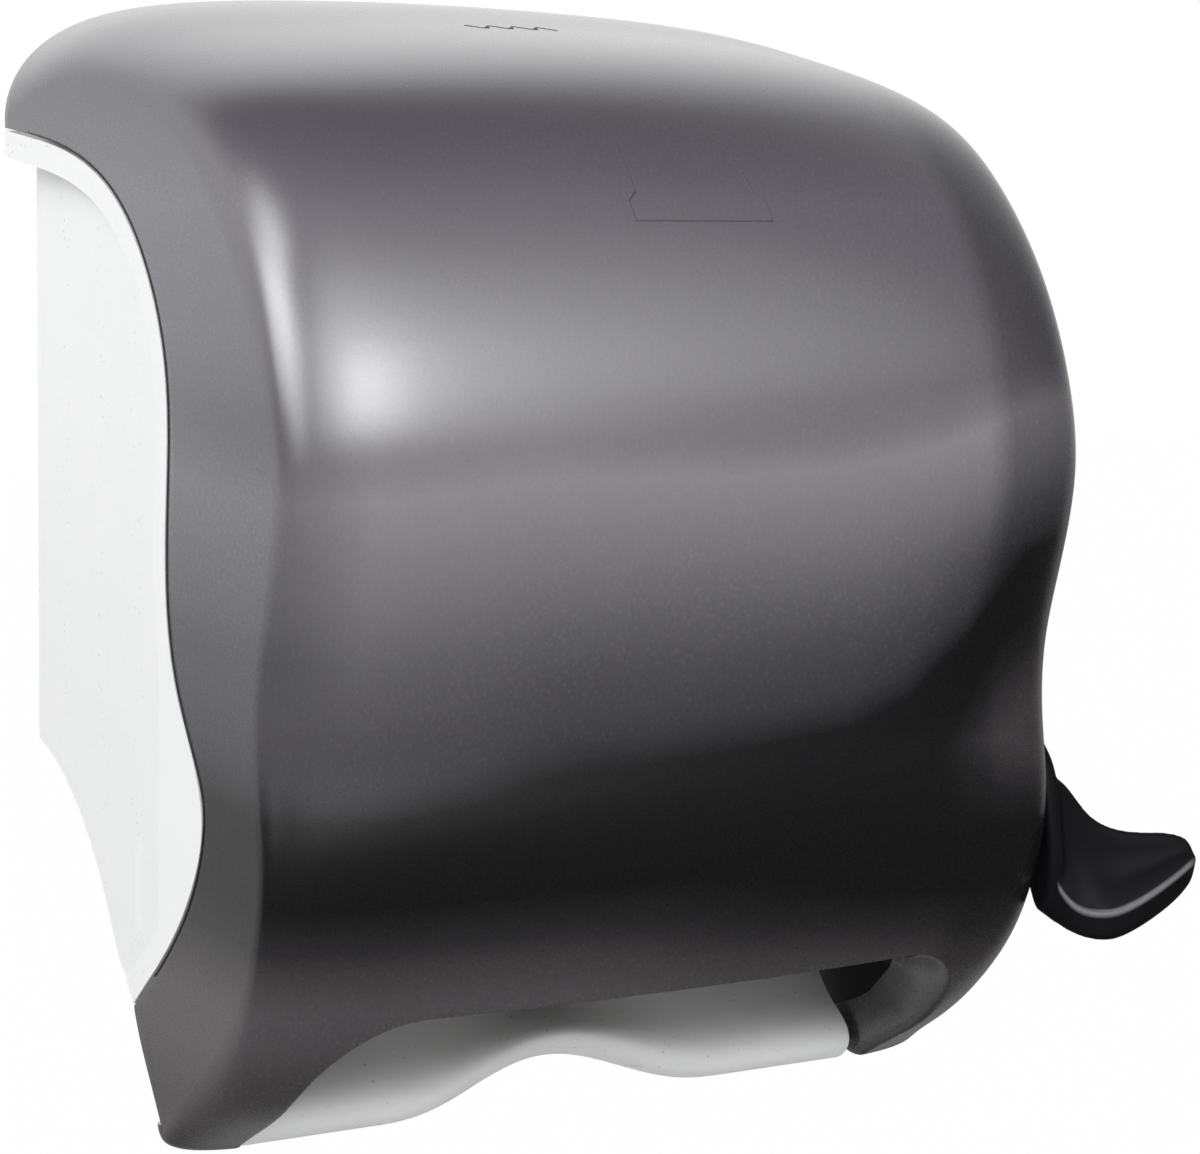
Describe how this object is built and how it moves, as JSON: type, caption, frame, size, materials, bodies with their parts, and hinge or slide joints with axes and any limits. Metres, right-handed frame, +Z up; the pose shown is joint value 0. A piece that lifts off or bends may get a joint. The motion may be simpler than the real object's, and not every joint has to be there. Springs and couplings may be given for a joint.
{
  "type": "lever paper towel dispenser",
  "caption": "Wall-mounted roll towel dispenser with a smoky domed cover and a side press lever that turns a feed roller through a toothed sector.",
  "frame": {"origin": "middle of the four wall screw holes, on the wall plane", "axes": "+X to the user's right (lever side), -Y out of the wall towards the user, +Z up"},
  "size_m": [0.317, 0.2132, 0.332],
  "materials": {
    "cover_smoke": "smoky translucent moulding with a satin pearl surface",
    "housing_white": "white with fine grey speckles, satin",
    "lever_black": "black satin moulding",
    "frame_grey": "grey moulded plastic, matte",
    "bearing_white": "natural white bearing plastic, smooth",
    "steel": "plain steel",
    "rubber_dark": "dark rubber, dull"
  },
  "bodies": {
    "dispenser": {"housing": "housing_white", "chin": "housing_white", "side_frame_left": "frame_grey", "side_frame_right": "frame_grey", "pressure_block_left": "bearing_white", "pressure_block_right": "bearing_white", "front_bar": "frame_grey", "tear_blade": "steel", "feed_bushing_left": "bearing_white", "feed_bushing_right": "bearing_white", "lever_bushing": "bearing_white", "arm_bracket_left": "frame_grey", "arm_bracket_right": "frame_grey", "arm_pin_left": "steel", "arm_pin_right": "steel", "latch_catch": "frame_grey", "bar_screws": "steel", "blade_screws": "steel", "bracket_screws": "steel", "pressure_spring_left": "steel", "pressure_spring_right": "steel", "lever_spring": "steel"},
    "cover": {"cover_shell": "cover_smoke", "cover_hinge_pin_left": "steel", "cover_hinge_pin_right": "steel", "latch_guide": "frame_grey"},
    "latch": {"key_latch": "bearing_white"},
    "lever": {"lever": "lever_black", "lever_shaft": "steel", "drive_sector": "bearing_white"},
    "feed_roller": {"feed_shaft": "steel", "feed_core": "bearing_white", "feed_grip_left": "rubber_dark", "feed_grip_middle": "rubber_dark", "feed_grip_right": "rubber_dark", "drive_pinion": "bearing_white", "feed_clip": "steel"},
    "pressure_roller": {"pressure_roller": "rubber_dark", "pressure_shaft": "steel", "pressure_clips": "steel"},
    "roll_arm_left": {"roll_arm_left": "frame_grey", "hub_pin_left": "steel"},
    "roll_arm_right": {"roll_arm_right": "frame_grey", "hub_pin_right": "steel"},
    "hub_left": {"hub_left": "bearing_white"},
    "hub_right": {"hub_right": "bearing_white"}
  },
  "joints": [
    {"name": "cover_hinge", "type": "hinge", "parent": "dispenser", "child": "cover", "pos_m": [0, -0.112, -0.168], "axis": [1, 0, 0], "range_deg": [0, 95]},
    {"name": "lever_press", "type": "hinge", "parent": "dispenser", "child": "lever", "pos_m": [0, -0.108, -0.05798], "axis": [1, 0, 0], "range_deg": [0, 45], "stiffness_Nm_per_rad": 0.6, "springref_deg": -11.46},
    {"name": "feed_roller_turn", "type": "hinge", "parent": "dispenser", "child": "feed_roller", "pos_m": [0, -0.128, -0.112], "axis": [1, 0, 0], "range_deg": [-226, 1]},
    {"name": "pressure_roller_turn", "type": "hinge", "parent": "dispenser", "child": "pressure_roller", "pos_m": [0, -0.10329, -0.0912], "axis": [1, 0, 0], "range_deg": [-1, 534]},
    {"name": "roll_arm_left_swing", "type": "hinge", "parent": "dispenser", "child": "roll_arm_left", "pos_m": [-0.105, -0.01, 0.028], "axis": [0, 0, -1], "range_deg": [0, 9], "stiffness_Nm_per_rad": 0.8, "springref_deg": -5.73},
    {"name": "roll_arm_right_swing", "type": "hinge", "parent": "dispenser", "child": "roll_arm_right", "pos_m": [0.105, -0.01, 0.028], "axis": [0, 0, 1], "range_deg": [0, 9], "stiffness_Nm_per_rad": 0.8, "springref_deg": -5.73},
    {"name": "hub_left_spin", "type": "hinge", "parent": "roll_arm_left", "child": "hub_left", "pos_m": [-0.095, -0.101, 0.028], "axis": [1, 0, 0], "continuous": true},
    {"name": "hub_right_spin", "type": "hinge", "parent": "roll_arm_right", "child": "hub_right", "pos_m": [0.095, -0.101, 0.028], "axis": [1, 0, 0], "continuous": true},
    {"name": "latch_throw", "type": "slide", "parent": "cover", "child": "latch", "axis": [0, 0, -1], "range_m": [0, 0.004]}
  ],
  "couplings": [
    {"joint": "feed_roller_turn", "follows": "lever_press", "ratio": -5},
    {"joint": "pressure_roller_turn", "follows": "lever_press", "ratio": 11.842}
  ]
}
